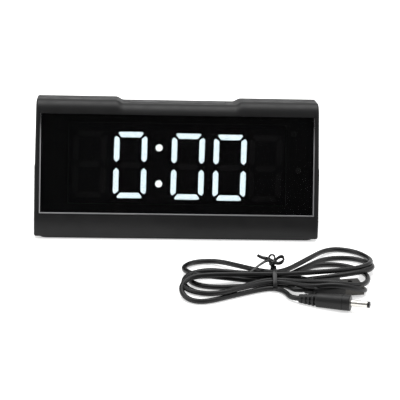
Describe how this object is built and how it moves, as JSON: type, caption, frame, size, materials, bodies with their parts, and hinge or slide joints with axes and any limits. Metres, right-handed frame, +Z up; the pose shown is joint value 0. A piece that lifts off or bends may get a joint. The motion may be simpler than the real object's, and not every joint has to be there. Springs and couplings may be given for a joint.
{
  "type": "alarm clock",
  "caption": "Black desk alarm clock with a slanted gloss window, lit digits, a snooze bar in the top, rear buttons and a hanked power lead in front",
  "frame": {"origin": "on the table under the middle of the case", "axes": "+X along the clock to the right seen from the front, +Y from front to back, +Z up"},
  "size_m": [0.1901, 0.1504, 0.075],
  "materials": {
    "case_black": "fine spark-eroded texture, matte black",
    "gloss_black": "satin black",
    "button_black": "satin black",
    "lens_smoke": "polished dark tinted window",
    "film_smoke": "dark film",
    "segment_lit": "milky diffuser, lit cool white",
    "segment_dark": "milky diffuser, unlit",
    "reflector_white": "dark grey moulding",
    "board_green": "solder mask",
    "chip_black": "moulded epoxy",
    "tin_plate": "tin plated",
    "led_yellow": "phosphor chip",
    "capacitor_sleeve": "shrink sleeve",
    "switch_black": "moulded plastic",
    "plunger_white": "moulded plastic",
    "header_white": "moulded plastic",
    "ribbon_grey": "flat cable",
    "cell_steel": "nickel plated can",
    "contact_brass": "bright",
    "screw_steel": "zinc plated",
    "foot_rubber": "matte rubber",
    "cord_pvc": "soft black PVC jacket",
    "tie_black": "plastic coated wire",
    "plug_black": "moulded PVC",
    "plug_nickel": "nickel plated",
    "shell_dark": "dark nickel plated",
    "tongue_white": "moulded plastic"
  },
  "bodies": {
    "case": {"lower_shell": "case_black", "upper_shell": "case_black", "rear_panel": "case_black", "display_lens": "lens_smoke", "display_filter": "film_smoke", "digit_hours": "segment_lit", "digit_tens": "segment_lit", "digit_units": "segment_lit", "colon_dots": "segment_lit", "segments_unlit": "segment_dark", "indicator_lamps": "segment_dark", "reflector_block": "reflector_white", "display_board": "board_green", "main_board": "board_green", "snooze_board": "board_green", "clock_chip": "chip_black", "regulator": "chip_black", "chip_legs": "tin_plate", "cell_contact": "tin_plate", "crystal": "tin_plate", "led_chips": "led_yellow", "capacitors": "capacitor_sleeve", "key_switches": "switch_black", "snooze_switches": "switch_black", "alarm_switch_body": "switch_black", "buzzer": "switch_black", "dc_socket": "switch_black", "cell_holder": "switch_black", "board_headers": "header_white", "display_cable": "ribbon_grey", "coin_cell": "cell_steel", "dc_socket_pin": "contact_brass", "case_screws": "screw_steel", "panel_screws": "screw_steel", "board_screws": "screw_steel", "rubber_feet": "foot_rubber", "cord_lead": "cord_pvc", "cord_tail": "cord_pvc", "cord_hank": "cord_pvc", "cord_tie": "tie_black", "dc_plug_body": "plug_black", "dc_plug_tip": "plug_black", "usb_plug_body": "plug_black", "dc_plug_barrel": "plug_nickel", "usb_plug_shell": "shell_dark", "usb_plug_tongue": "tongue_white"},
    "snooze": {"snooze_bar": "gloss_black", "snooze_plungers": "plunger_white"},
    "alarm_slider": {"alarm_switch_knob": "button_black"},
    "battery_cover": {"battery_door": "case_black"},
    "set_key": {"set_button": "button_black", "set_plunger": "plunger_white"},
    "alarm_key": {"alarm_button": "button_black", "alarm_plunger": "plunger_white"},
    "up_key": {"up_button": "button_black", "up_plunger": "plunger_white"},
    "down_key": {"down_button": "button_black", "down_plunger": "plunger_white"},
    "dimmer_key": {"dimmer_button": "button_black", "dimmer_plunger": "plunger_white"}
  },
  "joints": [
    {"name": "snooze_press", "type": "slide", "parent": "case", "child": "snooze", "axis": [0, -0.1392, -0.9903], "range_m": [0, 0.0005], "stiffness_N_per_m": 800, "springref_m": -0.0003},
    {"name": "set_press", "type": "slide", "parent": "case", "child": "set_key", "axis": [0, -1, 0], "range_m": [0, 0.0005], "stiffness_N_per_m": 500, "springref_m": -0.0004},
    {"name": "alarm_press", "type": "slide", "parent": "case", "child": "alarm_key", "axis": [0, -1, 0], "range_m": [0, 0.0005], "stiffness_N_per_m": 500, "springref_m": -0.0004},
    {"name": "up_press", "type": "slide", "parent": "case", "child": "up_key", "axis": [0, -1, 0], "range_m": [0, 0.0005], "stiffness_N_per_m": 500, "springref_m": -0.0004},
    {"name": "down_press", "type": "slide", "parent": "case", "child": "down_key", "axis": [0, -1, 0], "range_m": [0, 0.0005], "stiffness_N_per_m": 500, "springref_m": -0.0004},
    {"name": "dimmer_press", "type": "slide", "parent": "case", "child": "dimmer_key", "axis": [0, -1, 0], "range_m": [0, 0.0005], "stiffness_N_per_m": 500, "springref_m": -0.0004},
    {"name": "alarm_slide", "type": "slide", "parent": "case", "child": "alarm_slider", "axis": [1, 0, 0], "range_m": [0, 0.003]},
    {"name": "battery_cover_swing", "type": "hinge", "parent": "case", "child": "battery_cover", "pos_m": [0.038, 0.02185, 0.01305], "axis": [-1, 0, 0], "range_deg": [0, 90]}
  ]
}
